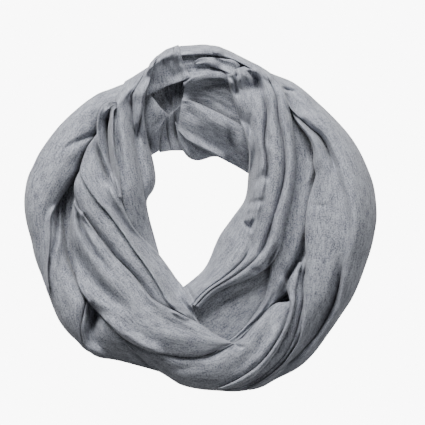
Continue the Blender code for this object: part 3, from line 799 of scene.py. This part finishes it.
# The strands down the right of the opening: a broad one that lines it, and two narrow ones outside it, which
# all turn in below and run under the crossing.
stretch("inner_right", "inner_right", (
    Rail(((28, 158), (31, 145), (35, 132), (39, 118), (45, 101), (50, 86), (53, 73), (53, 59), (52, 44),
          (51, 31), (48, 19), (42, 10), (36, 2), (28, -9), (21, -19), (15, -32), (10, -45), (3, -57),
          (-8, -67), (-21, -77)),
         (46, 52, 50, 38, 20, 4, 2, 2, 2, 2, 2, 2, 2, 2, 2), (2, 7, 14, 24, 27, 20, 16, 15, 12, 8), 0.54),
    Rail(((53, 167), (60, 155), (66, 144), (69, 131), (72, 119), (72, 107), (70, 92), (69, 78), (72, 66),
          (72, 53), (71, 38), (68, 22), (64, 4), (60, -13), (56, -30), (49, -42), (41, -51), (30, -61),
          (19, -69), (9, -76), (-1, -85), (-9, -95)),
         (38, 50, 52, 52, 52, 53, 50, 46, 40, 35), (4, 11, 13, 12, 8, 5, 6, 8, 8)),
    Rail(((63, 167), (71, 156), (78, 143), (83, 130), (84, 117), (86, 101), (90, 85), (92, 67), (92, 51),
          (89, 33), (84, 15), (79, -1), (74, -16), (69, -31), (61, -43), (50, -53), (36, -63), (21, -72),
          (8, -81), (-5, -95)),
         (34, 48, 50, 50, 50, 49, 49, 47, 43, 38), (4, 10, 12, 12, 11, 10, 9, 8, 7)),
    Rail(((74, 160), (83, 150), (90, 140), (96, 121), (100, 106), (102, 91), (104, 72), (104, 51),
          (101, 31), (97, 12), (92, -8), (89, -25), (83, -41), (74, -53), (61, -62), (46, -69), (30, -75),
          (15, -83), (-1, -98)),
         (24, 40, 44, 44, 43, 42, 41, 40, 38, 35)),
), folds=(
    Fold(((28, 158), (32, 153), (37, 147), (39, 136)), -10, 2.4),
    Fold(((39, 172), (39, 156), (40, 136)), -14, 2.6),
    Fold(((41, 145), (52, 143), (65, 141)), -8, 4.5),
    Fold(((47, 172), (52, 163), (58, 152), (66, 140)), (-20, -26, -20), 4.4),
    Fold(((53, 110), (54, 95), (54, 75)), -6, 3),
    Fold(((43, 117), (47, 103), (51, 90)), -2, 3),
    Fold(((68, 139), (70, 128), (73, 117), (71, 99), (70, 79), (73, 64), (71, 44)),
         (-3, -6, -8, -6, -11, -10), 3),
    Fold(((83, 130), (84, 117), (86, 100), (90, 85), (92, 66), (91, 44), (86, 23), (79, -1)), -5, 2.8),
    Fold(((74, 90), (75, 85), (74, 78)), -4, 3),
    Fold(((57, 37), (65, 43), (72, 51)), -6, 5),
    Fold(((48, 14), (57, 17), (67, 19)), -5, 3),
    Fold(((48, 8), (56, 9), (63, 12)), 3, 3),
    Fold(((47, -4), (52, -8), (55, -13)), (-6, -14, -9), 2.6),
    Fold(((59, -1), (56, -6), (55, -12)), (-4, -10, -7), 2.3),
    Fold(((53, -18), (54, -29), (47, -43)), -4, 3.5),
    Fold(((26, -13), (18, -32), (12, -47), (3, -66)), -9, 3.4),
    Fold(((35, -15), (34, -29), (28, -42)), 5, 7),
    Fold(((59, 35), (56, 28), (51, 21)), 3, 5),
    Fold(((79, -4), (75, -16), (71, -28), (65, -37)), -9, 3),
    Fold(((83, -31), (78, -41), (73, -51), (69, -59)), -11, 2.6),
    Fold(((59, -57), (65, -58), (71, -59)), -9, 2.4),
    Fold(((-18, -74), (-14, -80), (-9, -90), (-5, -102)), (-9, -14, -14), 3.2),
), ease=(
    Zone(((71, 35), (68, 22), (64, 6), (60, -11), (56, -26)), 9),
), tucks=(
    Zone(((28, 163), (31, 160)), 4),
    Zone(((46, 169), (54, 167), (63, 167), (75, 160)), 5),
    Zone(((-20, -79), (-9, -94), (1, -99)), 6),
), swell=0.8, seed=35)


# The crossing strands: they come down the left over everything there, and cross to the bottom. Their inner
# edge is the edge of the opening. A loop with a pocket lies over their upper end.
stretch("cross_lower", "cross_strands", (
    Rail(((-128, 57), (-135, 46), (-138, 35), (-137, 24), (-133, 12), (-126, -2), (-118, -14), (-111, -26),
          (-102, -37), (-93, -47), (-84, -56), (-75, -66), (-68, -76), (-61, -85), (-53, -91), (-42, -97),
          (-27, -105)),
         (30, 36, 36, 36, 36, 36, 36, 36, 36), (5, 8, 9, 10, 10, 10, 9, 8, 6), 0.55),
    Rail(((-119, 55), (-119, 44), (-117, 33), (-112, 23), (-104, 13), (-95, 2), (-86, -9), (-76, -24),
          (-68, -37), (-58, -51), (-49, -64), (-41, -76), (-35, -88), (-27, -97), (-16, -105)),
         (34, 38, 38, 38, 38, 38, 38, 38, 36)),
), folds=(
    Fold(((-126, 2), (-114, -15), (-100, -32), (-89, -46), (-78, -58), (-62, -75), (-54, -88)),
         (-10, -10, -8), 3.4),
), tucks=(Zone(((-130, 57), (-117, 55)), 5),), swell=0.5, seed=36)
stretch("cross_strands", "cross_strands", (
    Rail(((-109, 99), (-115, 89), (-122, 80), (-127, 69), (-130, 59), (-132, 51), (-129, 43), (-124, 34),
          (-118, 25), (-111, 16), (-102, 7), (-93, -5), (-82, -20), (-73, -34), (-63, -47), (-55, -59),
          (-47, -72), (-40, -84), (-34, -95), (-18, -106), (3, -122), (14, -132)),
         (26, 34, 38, 38, 36, 36, 36, 35, 32, 29, 27), (3, 8, 10, 10, 10, 12, 12, 9, 5, 2), 0.45),
    Rail(((-106, 97), (-106, 84), (-104, 73), (-101, 62), (-97, 51), (-94, 41), (-90, 32), (-87, 23),
          (-83, 11), (-78, -1), (-70, -14), (-60, -25), (-50, -34), (-40, -47), (-32, -58), (-26, -67),
          (-18, -76), (-13, -86), (-8, -98), (-4, -110), (4, -122), (13, -131)),
         (24, 28, 30, 32, 34, 36, 37, 36, 32, 26, 16, 6, 3, 2, 2, 4, 14, 28, 34, 36, 36)),
), folds=(
    Fold(((-114, 84), (-111, 75), (-108, 66), (-104, 57), (-100, 47), (-95, 37), (-91, 28), (-87, 19),
          (-84, 11)),
         (-8, -16, -18, -17, -17, -14, -10), 3.4),
    Fold(((-64, -31), (-48, -51), (-31, -73), (-18, -92)), -1.5, 5),
    Fold(((-38, -90), (-34, -96), (-27, -100)), -9, 2.6),
), tucks=(Zone(((-113, 101), (-104, 99)), 6),), swell=0.6, seed=37)
stretch("cross_loop", "cross_strands", (
    Rail(((-85, 124), (-95, 128), (-104, 125), (-110, 117), (-113, 106), (-113, 92), (-112, 81),
          (-108, 71), (-105, 61), (-100, 51), (-96, 42), (-92, 33), (-89, 24), (-85, 13)),
         (26, 34, 30, 26, 25, 25, 26, 28, 30, 32, 28), (4, 14, 18, 20, 20, 18, 14, 9, 3)),
    Rail(((-85, 122), (-94, 123), (-99, 118), (-101, 109), (-102, 95), (-101, 78), (-99, 64), (-96, 51),
          (-92, 38), (-89, 28), (-84, 13)),
         (28, 28, 14, 10, 14, 20, 26, 30, 32, 28), (3, 16, 22, 20, 16, 10, 3)),
    Rail(((-84, 121), (-91, 120), (-94, 116), (-94, 106), (-94, 85), (-91, 65), (-88, 51), (-86, 37),
          (-85, 24), (-83, 12)),
         (28, 34, 34, 30, 30, 30, 30, 31, 31, 28)),
), folds=(
    Fold(((-98, 121), (-100, 113), (-102, 103)), (-14, -22, -10), 3),
), tucks=(Zone(((-86, 127), (-85, 118)), 5), Zone(((-86, 16), (-82, 11)), 5)),
    swell=0.3, seed=38)


# The crossing band: the uppermost stretch. It widens from a fold at the left and sweeps over the strands,
# and its lower edge lies on the roll along the bottom.
stretch("cross_band", "cross_band", (
    Rail(((-136, 29), (-138, 20), (-140, 10), (-142, -2), (-143, -18), (-142, -35), (-138, -55),
          (-133, -74), (-125, -88), (-116, -99), (-106, -109), (-97, -118), (-89, -126), (-78, -134),
          (-68, -139), (-53, -145), (-40, -148), (-20, -151), (-4, -151), (8, -148), (21, -142),
          (35, -135)),
         (28, 26, 24, 25, 31, 36, 36, 38, 41, 42), (4, 9, 17, 21, 21, 19, 16, 13, 9, 5)),
    Rail(((-133, 24), (-130, 13), (-126, 2), (-118, -9), (-110, -21), (-102, -31), (-94, -41), (-85, -50),
          (-75, -60), (-67, -70), (-59, -80), (-52, -88), (-45, -92), (-36, -97), (-27, -101), (-14, -108),
          (-4, -113), (7, -120), (16, -126), (25, -131), (36, -136)),
         (32, 33, 34, 34, 34, 34, 36, 39, 41, 40)),
), folds=(
    Fold(((-135, 16), (-133, 4), (-130, -11), (-123, -25), (-115, -37), (-107, -48), (-95, -61)),
         (-12, -18, -16, -12, -6), 2.8),
    Fold(((-142, -22), (-136, -37), (-126, -55), (-115, -71), (-100, -85), (-85, -98), (-74, -108)),
         (-10, -17, -16, -13, -8), 8),
    Fold(((-124, -81), (-111, -91), (-93, -100), (-71, -108)), 2.5, 6),
    Fold(((-56, -121), (-31, -128), (-3, -133)), 2.5, 8),
    Fold(((-50, -98), (-38, -104), (-26, -110), (-14, -115), (-3, -120)), 5, 4.5),
), tucks=(Zone(((-141, 26), (-133, 21), (-128, 13)), 7),), fullness=1.9,
    swell=1.0, seed=39)


# The hidden layers: the inner turns of the scarf, one folded ring that fills the room under all the others.
# Its edges are layers that step in one above another, and it lies flat on the table.
Outline = namedtuple("Outline", "degrees outer inner")
Layer = namedtuple("Layer", "share height")
OUTER_INSET = 10.0        # how far the ring's edges stay inside its outline
INNER_INSET = 15.0
outline = (
    Outline(0, 190, 50), Outline(30, 184, 64), Outline(60, 175, 74), Outline(90, 198, 68),
    Outline(97, 198, 73), Outline(105, 191, 79), Outline(120, 172, 90), Outline(150, 184, 68),
    Outline(180, 192, 62), Outline(210, 184, 64), Outline(240, 180, 72), Outline(270, 184, 66),
    Outline(300, 192, 46), Outline(330, 184, 40), Outline(360, 190, 50),
)
edge_layers = (
    Layer(0.0, 0.0), Layer(0.004, 5.0), Layer(0.012, 6.4), Layer(0.045, 6.8), Layer(0.052, 7.6),
    Layer(0.055, 12.0), Layer(0.064, 13.2), Layer(0.095, 13.6), Layer(0.102, 14.6), Layer(0.106, 19.0),
    Layer(0.116, 20.4), Layer(0.16, 24.0),
)
MIDDLE_STEPS = 31
MIDDLE_HEIGHT = 60.0      # higher than the room there is, so that the cloth above decides
LEAST_HEIGHT = 3.0
OPEN_HEIGHT = 8.0         # where nothing lies above
TURN_LENGTH = 0.125       # metres of cloth to a radian, about the ring's mean radius
shares = [layer.share for layer in edge_layers]
shares += list(np.linspace(0.2, 0.8, MIDDLE_STEPS)) + [1 - share for share in reversed(shares)]
tops = [layer.height for layer in edge_layers]
tops += [MIDDLE_HEIGHT] * MIDDLE_STEPS + tops[::-1]
turns = np.arange(360)
degrees = [row.degrees for row in outline]
outer_edge = np.interp(turns, degrees, [row.outer for row in outline]) - OUTER_INSET
inner_edge = np.interp(turns, degrees, [row.inner for row in outline]) + INNER_INSET
distance = inner_edge[:, None] + (outer_edge - inner_edge)[:, None] * np.array(shares)
angle = np.radians(turns)[:, None]
up = np.broadcast_to(tops, distance.shape)
ring = np.stack((distance * np.cos(angle), distance * np.sin(angle), up), -1)
room[room > ROOF - 1] = OPEN_HEIGHT
clear = -spread_out(-room, 3, highest)[cells(ring)] - AIR
ring[..., 2] = np.maximum(np.minimum(ring[..., 2], clear), np.minimum(ring[..., 2], LEAST_HEIGHT))
count, width = ring.shape[:2]
number = np.arange(count * width).reshape(count, width)
turned = np.roll(number, -1, 0)
upper = np.stack((number[:, :-1], number[:, 1:], turned[:, 1:], turned[:, :-1]), -1).reshape(-1, 4)
floor = np.stack((number[:, -1], number[:, 0], turned[:, 0], turned[:, -1]), -1)
corners = np.vstack((upper, floor))
core_mesh = bpy.data.meshes.new("hidden_layers")
core_mesh.from_pydata((ring.reshape(-1, 3) / 1000).tolist(), [], corners.tolist())
turn = corners // width
turn[:, 2:] += count * (turn[:, 2:] < turn[:, :1])
core_map = np.stack((distance.ravel()[corners] / 1000, np.radians(turn) * TURN_LENGTH), -1)
core_mesh.uv_layers.new(name="cloth").data.foreach_set("uv", core_map.ravel())
core_mesh.shade_smooth()
core_mesh.materials.append(jersey)
hidden_layers = bpy.data.objects.new("hidden_layers", core_mesh)
bpy.context.scene.collection.objects.link(hidden_layers)
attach(hidden_layers, "root")
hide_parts("hidden_core")
